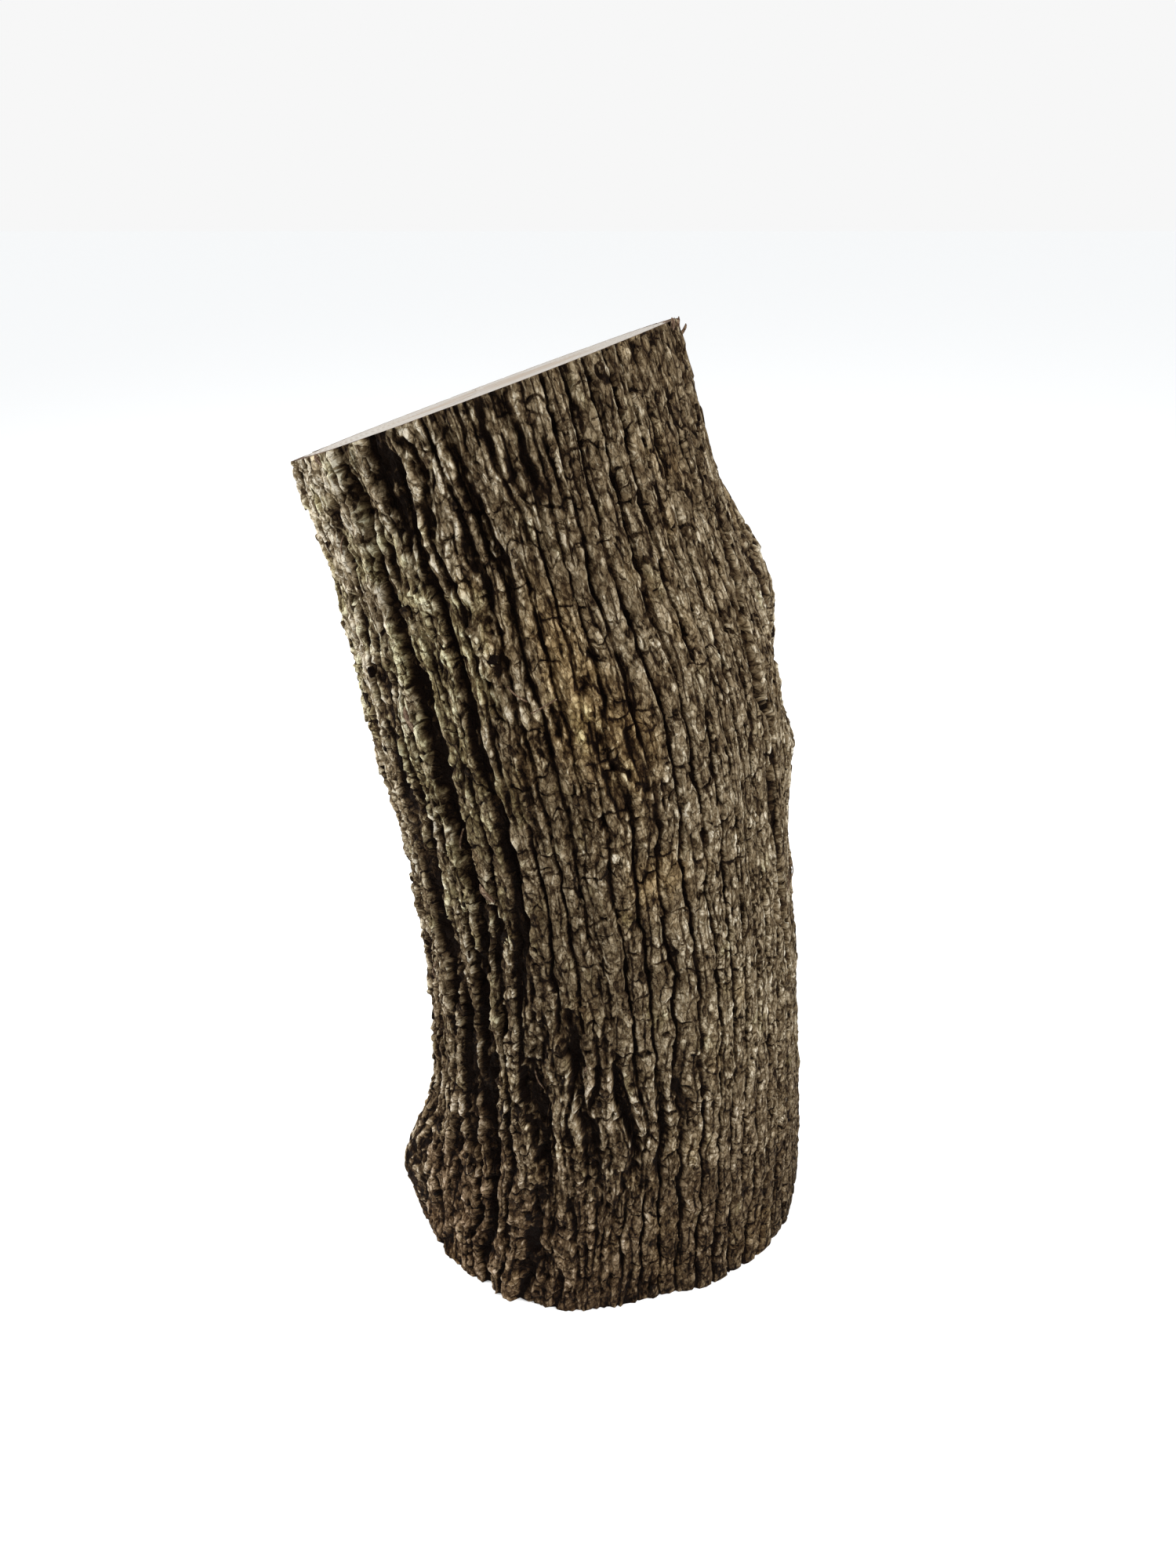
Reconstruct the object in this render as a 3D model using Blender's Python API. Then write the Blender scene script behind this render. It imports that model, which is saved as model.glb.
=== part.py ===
# A sawn length of tree trunk with its bark on, standing on its lower cut.
# It grew as one piece, so it is one solid. Metres, +Z up. The origin is on the floor,
# under the middle of the log's bounding box, and the log leans towards -X as it rises.

import math

import bmesh
import bpy
from mathutils import Vector

# Driving dimensions
LOG_HEIGHT = 0.863  # from the middle of the lower cut to the middle of the upper cut
BASE_CENTRE = (0.0231, -0.0095)  # middle of the lower cut, from the middle of the box
UPPER_CUT_NORMAL = Vector((-0.33, 0.107, 0.938)).normalized()
TILT_GROWTH = 1.6  # power of the share of height: the cross-sections tip late

# Share of the height, sideways place of the trunk's middle, and its radius there
TRUNK = (
    (0.00, 0.006, 0.201),
    (0.12, 0.009, 0.194),
    (0.25, 0.009, 0.189),
    (0.40, 0.003, 0.185),
    (0.55, -0.012, 0.184),
    (0.70, -0.033, 0.186),
    (0.85, -0.068, 0.172),
    (1.00, -0.106, 0.171),
)
BEND_BACK_FROM = 0.25  # height at which the trunk starts to bend towards +Y
BEND_BACK = 0.113  # metres of offset for each square metre of height above that

# Where the trunk swells: bearing in degrees, share of the height, how far it stands out,
# its half width in radians and its half height as a share of the height
SWELLINGS = {
    "root_burl": (195.0, 0.090, 0.036, 0.16, 0.081),
    "shoulder": (21.0, 0.768, 0.032, 0.23, 0.086),
    "callus": (20.0, 0.588, 0.020, 0.40, 0.046),
}

# The lower cut isn't quite round: waves around it, cosine and sine part in metres
BASE_WAVES = {2: (0.0050, 0.0026), 3: (0.0072, -0.0057)}
BASE_WAVES_FADE = 0.25  # share of the height over which they die out

# Broad flutes of uneven growth: waves around, depth, turn per unit of height in radians
FLUTES = ((7, 0.0016, 1.9), (12, 0.0013, -2.6), (18, 0.0011, 3.7))

SIDES = 72
RINGS = 32

BARK_COLOUR = (0.118, 0.088, 0.058, 1.0)
CUT_COLOUR = (0.62, 0.50, 0.36, 1.0)


def along_trunk(share, column):
    """A value of TRUNK at this share of the height, on a smooth curve through its rows."""
    last = len(TRUNK) - 1
    row = max(i for i in range(last) if share >= TRUNK[i][0] or i == 0)
    x0, x1 = TRUNK[row][0], TRUNK[row + 1][0]
    y0, y1 = TRUNK[row][column], TRUNK[row + 1][column]

    def slope(i):
        a, b = max(i - 1, 0), min(i + 1, last)
        return (TRUNK[b][column] - TRUNK[a][column]) / (TRUNK[b][0] - TRUNK[a][0])

    span = x1 - x0
    u = (share - x0) / span
    rise = y1 - y0
    start, end = slope(row) * span, slope(row + 1) * span
    return y0 + u * (start + u * (3 * rise - 2 * start - end + u * (start + end - 2 * rise)))


def angle_between(a, b):
    return math.remainder(a - b, 2 * math.pi)


def radius(angle, share):
    """Distance from the trunk's middle to the bark, at this bearing and share of the height."""
    value = along_trunk(share, 2)
    for bearing, middle, rise, half_width, half_height in SWELLINGS.values():
        across = angle_between(angle, math.radians(bearing)) / half_width
        along = (share - middle) / half_height
        value += rise * math.exp(-across * across - along * along)
    fade = math.exp(-((share / BASE_WAVES_FADE) ** 2))
    for waves, (cosine, sine) in BASE_WAVES.items():
        value += fade * (cosine * math.cos(waves * angle) + sine * math.sin(waves * angle))
    for waves, depth, turn in FLUTES:
        value += depth * math.cos(waves * angle + turn * share)
    return value


def section(share):
    """Middle of the trunk's cross-section, and its two directions."""
    tip = share**TILT_GROWTH
    normal = (Vector((0, 0, 1)) * (1 - tip) + UPPER_CUT_NORMAL * tip).normalized()
    sideways = Vector((0, 1, 0)).cross(normal).normalized()
    height = share * LOG_HEIGHT
    back = BEND_BACK * max(height - BEND_BACK_FROM, 0) ** 2
    middle = Vector((BASE_CENTRE[0] + along_trunk(share, 1), BASE_CENTRE[1] + back, height))
    return middle, sideways, normal.cross(sideways)


def trunk_point(angle, share):
    middle, sideways, backwards = section(share)
    out = sideways * math.cos(angle) + backwards * math.sin(angle)
    return middle + out * radius(angle, share)


def principled(name, colour, roughness):
    material = bpy.data.materials.new(name)
    material.use_nodes = True
    shader = material.node_tree.nodes["Principled BSDF"]
    shader.inputs["Base Color"].default_value = colour
    shader.inputs["Roughness"].default_value = roughness
    shader.inputs["Metallic"].default_value = 0.0
    material.diffuse_color = colour
    return material


def build_log(collection):
    mesh = bpy.data.meshes.new("log")
    bm = bmesh.new()
    # A cylinder of unit height, in rings, which the trunk's own shape then stretches
    bmesh.ops.create_cone(bm, cap_ends=True, segments=SIDES, radius1=1, radius2=1, depth=1)
    uprights = [e for e in bm.edges if abs(e.verts[0].co.z - e.verts[1].co.z) > 0.5]
    bmesh.ops.subdivide_edges(bm, edges=uprights, cuts=RINGS - 1)
    for vertex in bm.verts:
        angle = math.atan2(vertex.co.y, vertex.co.x)
        vertex.co = trunk_point(angle, min(max(vertex.co.z + 0.5, 0.0), 1.0))
    for face in bm.faces:
        sawn = len(face.verts) > 4
        face.smooth = not sawn
        face.material_index = 1 if sawn else 0
    bm.to_mesh(mesh)
    bm.free()
    mesh.materials.append(principled("bark", BARK_COLOUR, 0.9))
    mesh.materials.append(principled("cut_wood", CUT_COLOUR, 0.75))
    log = bpy.data.objects.new("log", mesh)
    collection.objects.link(log)
    return log


def main():
    for old in list(bpy.data.objects):
        bpy.data.objects.remove(old, do_unlink=True)
    collection = bpy.data.collections.new("wood_log")
    bpy.context.scene.collection.children.link(collection)
    build_log(collection)


main()
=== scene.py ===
import math
import bpy
import numpy as np
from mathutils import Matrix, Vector


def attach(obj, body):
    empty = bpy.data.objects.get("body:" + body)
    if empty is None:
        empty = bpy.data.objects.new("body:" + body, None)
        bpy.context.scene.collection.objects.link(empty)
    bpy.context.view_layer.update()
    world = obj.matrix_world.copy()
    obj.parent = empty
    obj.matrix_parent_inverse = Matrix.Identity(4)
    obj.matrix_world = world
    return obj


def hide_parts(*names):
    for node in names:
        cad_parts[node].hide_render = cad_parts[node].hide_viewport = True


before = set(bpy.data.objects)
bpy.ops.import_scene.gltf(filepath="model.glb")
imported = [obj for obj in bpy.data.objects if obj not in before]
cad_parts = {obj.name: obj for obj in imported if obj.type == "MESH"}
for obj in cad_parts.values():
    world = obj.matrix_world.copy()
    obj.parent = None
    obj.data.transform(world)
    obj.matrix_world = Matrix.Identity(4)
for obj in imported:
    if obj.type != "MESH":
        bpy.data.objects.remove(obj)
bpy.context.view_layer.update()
bpy.ops.object.select_all(action="DESELECT")
scene = bpy.context.scene
scene.view_settings.view_transform = "Standard"


# The trunk's own form, the same as the solid's: shares of height run from cut to cut
trunkForm = {
    "height": 0.863,
    "baseCentre": (0.0231, -0.0095),
    "cutNormal": (-0.33, 0.107, 0.938),
    "tiltGrowth": 1.6,
    # share of height, sideways place of the middle, radius
    "stations": (
        (0.00, 0.006, 0.201),
        (0.12, 0.009, 0.194),
        (0.25, 0.009, 0.189),
        (0.40, 0.003, 0.185),
        (0.55, -0.012, 0.184),
        (0.70, -0.033, 0.186),
        (0.85, -0.068, 0.172),
        (1.00, -0.106, 0.171),
    ),
    "bendBackFrom": 0.25,
    "bendBack": 0.113,
    # bearing in degrees, share of height, rise, half width in radians, half height
    "swellings": (
        (195.0, 0.090, 0.036, 0.16, 0.081),  # burl over a root
        (21.0, 0.768, 0.032, 0.23, 0.086),  # shoulder under a lost branch
        (20.0, 0.588, 0.020, 0.40, 0.046),  # callus below it
    ),
    "baseWaves": ((2, 0.0050, 0.0026), (3, 0.0072, -0.0057)),
    "baseWavesFade": 0.25,
    "flutes": ((7, 0.0016, 1.9), (12, 0.0013, -2.6), (18, 0.0011, 3.7)),
}


def alongTrunk(share, column):
    # a smooth curve through one column of the stations
    rows = np.array(trunkForm["stations"])
    at, value = rows[:, 0], rows[:, column]
    last = len(at) - 1
    before = np.maximum(np.arange(last + 1) - 1, 0)
    after = np.minimum(np.arange(last + 1) + 1, last)
    slope = (value[after] - value[before]) / (at[after] - at[before])
    row = np.clip(np.searchsorted(at, share, side="right") - 1, 0, last - 1)
    span = at[row + 1] - at[row]
    u = (share - at[row]) / span
    rise = value[row + 1] - value[row]
    start, end = slope[row] * span, slope[row + 1] * span
    return value[row] + u * (start + u * (3 * rise - 2 * start - end + u * (start + end - 2 * rise)))


def turnBetween(a, b):
    return np.angle(np.exp(1j * (a - b)))


def trunkRadius(angle, share):
    value = alongTrunk(share, 2)
    for bearing, middle, rise, halfWidth, halfHeight in trunkForm["swellings"]:
        across = turnBetween(angle, math.radians(bearing)) / halfWidth
        along = (share - middle) / halfHeight
        value = value + rise * np.exp(-across * across - along * along)
    fade = np.exp(-((share / trunkForm["baseWavesFade"]) ** 2))
    for waves, cosine, sine in trunkForm["baseWaves"]:
        value = value + fade * (cosine * np.cos(waves * angle) + sine * np.sin(waves * angle))
    for waves, depth, turn in trunkForm["flutes"]:
        value = value + depth * np.cos(waves * angle + turn * share)
    return value


def unit(vectors):
    return vectors / np.linalg.norm(vectors, axis=-1, keepdims=True)


def trunkSection(share):
    # middle of the cross-section and its two directions, one row for each share
    share = np.asarray(share, float)
    tip = share[..., None] ** trunkForm["tiltGrowth"]
    cutNormal = unit(np.array(trunkForm["cutNormal"]))
    normal = unit(np.array((0.0, 0.0, 1.0)) * (1 - tip) + cutNormal * tip)
    sideways = unit(np.cross(np.array((0.0, 1.0, 0.0)), normal))
    height = share * trunkForm["height"]
    back = trunkForm["bendBack"] * np.maximum(height - trunkForm["bendBackFrom"], 0) ** 2
    middle = np.stack((
        trunkForm["baseCentre"][0] + alongTrunk(share, 1),
        trunkForm["baseCentre"][1] + back,
        height,
    ), axis=-1)
    return middle, sideways, np.cross(normal, sideways)


def trunkPoint(angle, share, rise=0.0):
    # a point this far outside the trunk's smooth form
    middle, sideways, backwards = trunkSection(share)
    out = sideways * np.cos(angle)[..., None] + backwards * np.sin(angle)[..., None]
    return middle + out * np.asarray(trunkRadius(angle, share) + rise)[..., None]


bark = {
    "girth": 1.17,
    "length": 0.88,
    "columns": 1024,
    "rows": 576,
    "seed": 41,
    "triangles": 186000,
    "ruggedBearing": 212,  # the side where the ridges are high and knotted
    # plates in three sizes: width and height
    "plates": {"big": (0.0105, 0.0270), "small": (0.0054, 0.0125), "crumb": (0.0032, 0.0052)},
    # spacing, spread across and along, and how much of the bark's wander they follow
    "furrows": {
        "wild": (0.0440, 0.28, 0.120, 1.4),
        "low": (0.0215, 0.24, 0.070, 1.3),
        "even": (0.0200, 0.15, 0.034, 0.9),
        "narrow": (0.0095, 0.26, 0.100, 0.9),
    },
    "crossCracks": {"cross": (0.0190, 0.45, 0.75, 1.5), "fineCross": (0.0110, 0.45, 0.85, 1.0)},
    # metres that each feature adds: on the rugged side, on the even side, on both, and on the burl
    "ruggedRise": {
        "all": 0.0018, "valley": -0.0038, "gorge": -0.0058, "lowFurrow": -0.0052, "big": 0.0028,
        "bigTilt": 0.0040, "small": 0.0014, "smallTilt": 0.0020, "ledges": 0.0008, "split": -0.0016,
    },
    "evenRise": {
        "all": 0.0006, "evenFurrow": -0.0054, "split": -0.0013, "rounding": -0.0026, "big": 0.0012,
        "bigTilt": 0.0020, "small": 0.0007, "smallTilt": 0.0010, "ledges": 0.0004,
    },
    "sharedRise": {"crumb": 0.0007, "crack": -0.0026, "fineCrack": -0.0012, "pits": -0.0020},
    "burlRise": {"all": -0.0020, "small": 0.0038, "crumb": 0.0020, "fineCrack": -0.0016},
    "deepest": 0.0165,
    # lightness that each feature adds: everywhere (with painted shade in the deep furrows and the pits), as
    # each plate's own tone, and on the burl
    "lightness": {"all": 0.635, "paintedDepthShade": -0.64, "pits": -0.20},
    "tone": {"big": 0.30, "small": 0.26, "crumb": 0.16, "grain": 0.05, "ledges": 0.05},
    "burlTone": {"small": 0.50, "crumb": 0.90},
    # amount, then bearing, half width in degrees, share of height and half height
    # painted light and shade: patches paler where more light falls, darker where less falls
    "paintedLightAndShade": (
        (0.06, 314, 34, 0.50, 0.52),
        (0.26, 210, 34, 0.94, 0.30),
        (-0.07, 200, 24, 0.50, 0.20),
        (-0.06, 334, 30, 0.94, 0.12),
        (-0.08, 256, 26, 0.44, 0.24),
        (-0.03, 300, 60, 1.00, 0.16),
        (-0.06, 322, 46, 0.02, 0.13),
    ),
    "ochre": ((0.8, 277, 23, 0.74, 0.16), (0.5, 130, 25, 0.45, 0.20)),
    "lichen": ((1.0, 236, 24, 0.72, 0.26), (0.8, 185, 20, 0.80, 0.22), (0.6, 75, 30, 0.70, 0.30)),
    # hollows between the highest ridges: half width, depth, then bearings at shares of height
    "hollows": (
        (0.0085, 0.0090, ((234, 0.98), (233, 0.86), (233, 0.70), (236, 0.55), (229, 0.36), (232, 0.10))),
        (0.0055, 0.0065, ((249, 0.97), (247, 0.78), (250, 0.60), (246, 0.44))),
        (0.0075, 0.0085, ((218, 0.93), (215, 0.74), (214, 0.58), (222, 0.40), (224, 0.18))),
        (0.0050, 0.0060, ((200, 0.96), (196, 0.70), (201, 0.45), (207, 0.22))),
        (0.0062, 0.0135, (
            (340, 0.82), (333, 0.74), (332, 0.69), (337, 0.66), (334, 0.60), (336, 0.47), (338, 0.38),
        )),
        (0.0050, 0.0080, ((356, 0.90), (353, 0.72), (355, 0.58), (352, 0.46))),
        (0.0075, 0.0080, ((52, 0.95), (56, 0.70), (50, 0.48), (53, 0.25))),
        (0.0065, 0.0075, ((104, 0.90), (99, 0.64), (106, 0.38))),
        (0.0070, 0.0080, ((148, 0.97), (153, 0.72), (149, 0.50), (156, 0.22))),
    ),
    # places where a scale has dropped off: bearing, share, half width, half height, depth
    "scars": (
        (270.0, 0.736, 0.0045, 0.0150, 0.0050),
        (275.5, 0.636, 0.0040, 0.0060, 0.0045),
        (232.0, 0.735, 0.0070, 0.0090, 0.0060),
        (258.0, 0.420, 0.0040, 0.0100, 0.0045),
        (229.0, 0.440, 0.0090, 0.0110, 0.0060),
        (305.0, 0.300, 0.0035, 0.0080, 0.0035),
        (80.0, 0.560, 0.0060, 0.0130, 0.0050),
        (128.0, 0.330, 0.0055, 0.0120, 0.0050),
    ),
    "knot": (256.0, 0.778, 0.0060),  # bearing, share, size
    # bearing, half width in degrees, share of height and half height
    "callus": (12, 26, 0.66, 0.20),
    "burl": (195, 13, 0.085, 0.085),
    "darkerLowBearing": 205,
}

columns, rows = bark["columns"], bark["rows"]
straightRadius = bark["girth"] / (2 * math.pi)
angle = np.arange(columns) / columns * 2 * math.pi
share = np.linspace(0.0, 1.0, rows)
aroundGrid, upGrid = np.meshgrid(angle, share)
sheetU = aroundGrid / (2 * math.pi) * bark["girth"]
sheetV = upGrid * bark["length"]
draw = np.random.default_rng(bark["seed"])
freqU = np.fft.fftfreq(columns, bark["girth"] / columns)[None, :]
freqV = np.fft.fftfreq(rows, bark["length"] / rows)[:, None]


def smooth(low, high, value):
    t = np.clip((value - low) / (high - low), 0, 1)
    return t * t * (3 - 2 * t)


def softNoise(acrossSize, alongSize):
    # even random hills about this wide and this long, mean 0 and spread 1
    white = np.fft.fft2(draw.standard_normal((rows, columns)))
    keep = np.exp(-((freqU * acrossSize) ** 2 + (freqV * alongSize) ** 2) * 2.2)
    field = np.fft.ifft2(white * keep).real
    return (field - field.mean()) / field.std()


def roughNoise(acrossSize, alongSize, octaves, keepShare):
    # hills with smaller and smaller hills on them
    total = sum(softNoise(acrossSize / 2**k, alongSize / 2**k) * keepShare**k for k in range(octaves))
    return total / total.std()


def blurred(field, acrossSize, alongSize):
    keep = np.exp(-((freqU * acrossSize) ** 2 + (freqV * alongSize) ** 2) * 2.2)
    return np.fft.ifft2(np.fft.fft2(field) * keep).real


def terraces(field, steps, softness=0.25):
    # turns slopes into ledges, as thin layers of bark break off
    scaled = field * steps
    whole = np.floor(scaled)
    return (whole + smooth(1 - softness, 1, scaled - whole)) / steps


def strands(spacing, acrossSpread, alongSpread, shift, lyingDown=False):
    # strands about this far apart that fork and join: their turn, as cosine and sine, and their strength
    white = np.fft.fft2(draw.standard_normal((rows, columns)))
    middle = 1 / spacing
    over, along = (freqV, freqU) if lyingDown else (freqU, freqV)
    keep = np.exp(-((over - middle) / (middle * acrossSpread)) ** 2 - (along / (middle * alongSpread)) ** 2)
    field = np.fft.ifft2(white * keep)
    size = np.abs(field)
    turned = field / size * np.exp(2j * math.pi * shift / spacing)
    return np.stack((turned.real, turned.imag, size / size.mean()), axis=-1)


def offMiddle(strand):
    # 0 on a strand's middle, 1 half way to the next
    return np.abs(np.arctan2(strand[..., 1], strand[..., 0])) / math.pi


def plates(acrossSize, alongSize, u, v):
    # uneven cells: each cell's own value, and its tilt
    across = max(3, round(bark["girth"] / acrossSize))
    along = max(3, round(bark["length"] * 1.2 / alongSize))
    seeds = draw.random((along, across, 5))
    x, y = u / bark["girth"] * across, v / alongSize + 2
    cellX, cellY = np.floor(x).astype(int), np.floor(y).astype(int)
    best = np.full(u.shape, 9.0)
    value = np.zeros(u.shape)
    lift = np.zeros(u.shape)
    for stepY in (-1, 0, 1):
        for stepX in (-1, 0, 1):
            cx, cy = cellX + stepX, cellY + stepY
            seed = seeds[cy % along, cx % across]
            dx = cx + seed[..., 0] - x
            dy = cy + seed[..., 1] - y
            distance = np.sqrt(dx * dx + dy * dy)
            nearer = distance < best
            value = np.where(nearer, seed[..., 2] - 0.5, value)
            lift = np.where(nearer, (seed[..., 3] - 0.5) * dx + (seed[..., 4] - 0.5) * dy, lift)
            best = np.where(nearer, distance, best)
    return value, lift


def nearBearing(degrees, halfWidth, upMiddle, upHalf):
    across = turnBetween(aroundGrid, math.radians(degrees)) / math.radians(halfWidth)
    along = (upGrid - upMiddle) / upHalf
    return np.exp(-across * across - along * along)


def patches(rowsOfPatches):
    return sum(amount * nearBearing(*where) for amount, *where in rowsOfPatches)


def weighted(amounts, fields):
    return sum(amount * fields[name] for name, amount in amounts.items())


def hollowsAndScars(wander):
    # depths of the hollows, scars and knot, and the height of the rim round the knot, in metres
    depths = np.zeros(aroundGrid.shape)
    for halfWidth, depth, route in bark["hollows"]:
        bearings, shares = np.array(route[::-1], float).T
        middle = np.radians(np.interp(upGrid, shares, bearings))
        across = (turnBetween(aroundGrid, middle) * straightRadius + wander) / halfWidth
        along = smooth(shares[0] - 0.05, shares[0] + 0.03, upGrid)
        along = along * (1 - smooth(shares[-1] - 0.03, shares[-1] + 0.05, upGrid))
        depths = np.maximum(depths, depth * along * (1 - smooth(0.55, 1.35, np.abs(across))))
    for bearing, upMiddle, halfWidth, halfHeight, depth in bark["scars"]:
        across = (turnBetween(aroundGrid, math.radians(bearing)) * straightRadius + wander * 0.5) / halfWidth
        along = (upGrid - upMiddle) * bark["length"] / halfHeight
        depths = np.maximum(depths, depth * (1 - smooth(0.75, 1.15, np.hypot(across, along))))
    bearing, upMiddle, size = bark["knot"]
    across = turnBetween(aroundGrid, math.radians(bearing)) * straightRadius / size
    along = (upGrid - upMiddle) * bark["length"] / size
    ring = np.hypot(across, along)
    return depths + 0.005 * np.exp(-((ring / 0.45) ** 2)), 0.0022 * np.exp(-(((ring - 1.1) / 0.4) ** 2))


def makeBark():
    facing = np.cos(aroundGrid - math.radians(bark["ruggedBearing"]))
    rugged = smooth(-0.30, 0.40, facing - 0.42 + 0.22 * softNoise(0.07, 0.12))
    callus = nearBearing(*bark["callus"])
    rugged = np.maximum(rugged, 0.8 * smooth(0.35, 0.7, callus))
    burl = smooth(0.35, 0.75, nearBearing(*bark["burl"]))
    # the furrows wander sideways and the cracks sag, each in metres
    wander = 0.0042 * softNoise(0.05, 0.11) * (0.35 + 0.65 * rugged)
    wander = wander + 0.0013 * softNoise(0.018, 0.034) + 0.0007 * softNoise(0.007, 0.012)
    sag = 0.0030 * softNoise(0.012, 0.016)
    u = sheetU + wander + 0.0008 * softNoise(0.004, 0.008)
    v = sheetV + sag + 0.0007 * softNoise(0.004, 0.005)

    fields = {"all": 1.0}
    for name, (width, height) in bark["plates"].items():
        fields[name], fields[name + "Tilt"] = plates(width, height, u, v)
    lines = {}
    for name, (spacing, across, along, follow) in bark["furrows"].items():
        lines[name] = strands(spacing, across, along, wander * follow)
    for name, (spacing, across, along, follow) in bark["crossCracks"].items():
        lines[name] = strands(spacing, across, along, sag * follow, True)
    fadeLines(lines, callus)
    sinkLines(lines, fields)
    fields["ledges"] = terraces(roughNoise(0.008, 0.019, 4, 0.6), 2.2)
    fields["pits"] = smooth(1.35, 2.0, softNoise(0.0050, 0.010))
    fields["grain"] = roughNoise(0.0030, 0.0060, 3, 0.75)
    placed, raised = hollowsAndScars(wander * 0.8)

    shared = weighted(bark["sharedRise"], fields)
    ruggedRelief = weighted(bark["ruggedRise"], fields) + shared * 0.7
    evenRelief = weighted(bark["evenRise"], fields) + shared * 0.85
    relief = ruggedRelief * rugged + evenRelief * (1 - rugged)
    relief = relief + fields["grain"] * (0.00020 + 0.00014 * rugged)
    relief = (relief - placed + raised) * (0.55 + 0.45 * smooth(0.0, 0.035, upGrid))
    relief = relief * (1 - burl) + weighted(bark["burlRise"], fields) * burl
    relief = np.maximum(relief, -bark["deepest"])
    broken = (fields["lowShare"] + fields["valley"]) * rugged
    broken = broken + fields["evenFurrow"] * (1 - rugged) + placed / 0.004

    # painted shade: the deeper the bark lies below its crests, the darker its colour
    fields["paintedDepthShade"] = np.clip((-relief - 0.001) / 0.0105, 0, 1.0)
    # painted light and shade: lighter on the crests of the relief, darker in its dips
    paintedReliefShading = np.clip((relief - blurred(relief, 0.007, 0.010)) / 0.0014, -2, 2)
    light = weighted(bark["lightness"], fields) + (0.06 + 0.05 * rugged) * paintedReliefShading
    light = light + (0.14 + 0.58 * rugged) * weighted(bark["tone"], fields)
    # the burl's own tone, and painted shade where the hollows, scars and knot sink in
    light = light + burl * weighted(bark["burlTone"], fields) - 0.30 * smooth(0.2, 0.9, placed / 0.008)
    # painted light and shade over the whole bark, added to its lightness
    driftAndPaintedLight = paintedLightDrift()
    light = np.clip(light + driftAndPaintedLight, 0, 1)
    return {
        "relief": relief, "broken": broken, "light": light, "driftAndPaintedLight": driftAndPaintedLight, "rugged": rugged, "burl": burl,
        **lines, **makeTints(light, burl),
    }


def fadeLines(lines, callus):
    # furrows and cracks come and go, each with its own strength
    low, even, narrow, cross, fine = (lines[name] for name in ("low", "even", "narrow", "cross", "fineCross"))
    low[..., 2] = smooth(0.20, 0.55, low[..., 2])
    weak = 0.55 + 0.45 * smooth(-1.0, 0.5, softNoise(0.020, 0.050))
    even[..., 2] = smooth(0.04, 0.22, even[..., 2]) * weak
    narrow[..., 2] = smooth(-1.1, 0.4, softNoise(0.010, 0.026)) * 0.9
    cross[..., 2] = smooth(-0.5, 0.9, softNoise(0.016, 0.014)) * smooth(0.15, 0.5, cross[..., 2])
    fine[..., 2] = smooth(-0.2, 1.0, softNoise(0.009, 0.009)) * 0.8 * (1 - 0.7 * smooth(0.2, 0.6, callus))


def sinkLines(lines, fields):
    # ragged furrows, splits and cracks, 0 on the bark and 1 at the bottom
    ragged = roughNoise(0.006, 0.012, 3, 0.7)
    gorge = smooth(-0.5, 1.1, softNoise(0.05, 0.16))
    valley = smooth(0.56, 0.82, offMiddle(lines["wild"]) + ragged * 0.04)
    sunk = {}
    for name, low, high, raggedShare in (
        ("low", 0.58, 0.88, 0.07),
        ("even", 0.74, 0.94, 0.045),
        ("narrow", 0.66, 0.95, 0.06),
        ("cross", 0.78, 0.97, 0.05),
        ("fineCross", 0.72, 0.96, 0.05),
    ):
        off = offMiddle(lines[name]) + ragged * raggedShare
        sunk[name] = smooth(low, high, off) * lines[name][..., 2]
    fields.update({
        "valley": valley, "gorge": valley * gorge, "lowShare": sunk["low"],
        "lowFurrow": sunk["low"] * (1 - 0.4 * valley), "evenFurrow": sunk["even"],
        "rounding": offMiddle(lines["even"]) ** 3, "split": sunk["narrow"],
        "crack": sunk["cross"], "fineCrack": sunk["fineCross"],
    })


def paintedLightDrift():
    # painted light and shade, slow changes: paler on the right and near the top, darker low down on the left
    driftAndPaintedLight = patches(bark["paintedLightAndShade"]) - 0.09 * smooth(0.40, 0.0, upGrid)
    return driftAndPaintedLight + 0.016 * roughNoise(0.04, 0.07, 3, 0.7)


def makeTints(light, burl):
    # where the bark is ochre, where lichen greens it and where it is darker and redder low down, 0 to 1
    # here only a slow random drift that moves the tints' edges
    driftAndPaintedLight = roughNoise(0.05, 0.08, 4, 0.7)
    ochre = smooth(0.15, 0.95, patches(bark["ochre"]) + 0.16 * driftAndPaintedLight) + 0.25 * smooth(0.8, 2.2, driftAndPaintedLight)
    lichen = smooth(0.3, 1.1, patches(bark["lichen"]) + 0.3 * roughNoise(0.02, 0.03, 4, 0.7))
    lichen = lichen * smooth(0.35, 0.65, light)
    low = smooth(0.42, 0.02, upGrid + 0.05 * driftAndPaintedLight)
    facing = np.cos(aroundGrid - math.radians(bark["darkerLowBearing"]))
    darkerLow = np.clip(low * (0.55 + 0.45 * facing), 0, 1) * (1 - 0.6 * burl)
    return {"ochre": np.clip(ochre, 0, 1), "lichen": np.clip(lichen, 0, 1), "darkerLow": darkerLow}


barkSheet = makeBark()
print("bark sheet drawn")


def onlySelect(piece):
    bpy.ops.object.select_all(action="DESELECT")
    piece.select_set(True)
    bpy.context.view_layer.objects.active = piece


def readPoints(mesh):
    points = np.empty(len(mesh.vertices) * 3, np.float32)
    mesh.vertices.foreach_get("co", points)
    return points.reshape(-1, 3).astype(float)


def writePoints(mesh, points):
    mesh.vertices.foreach_set("co", np.asarray(points, np.float32).ravel())
    mesh.update()


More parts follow.
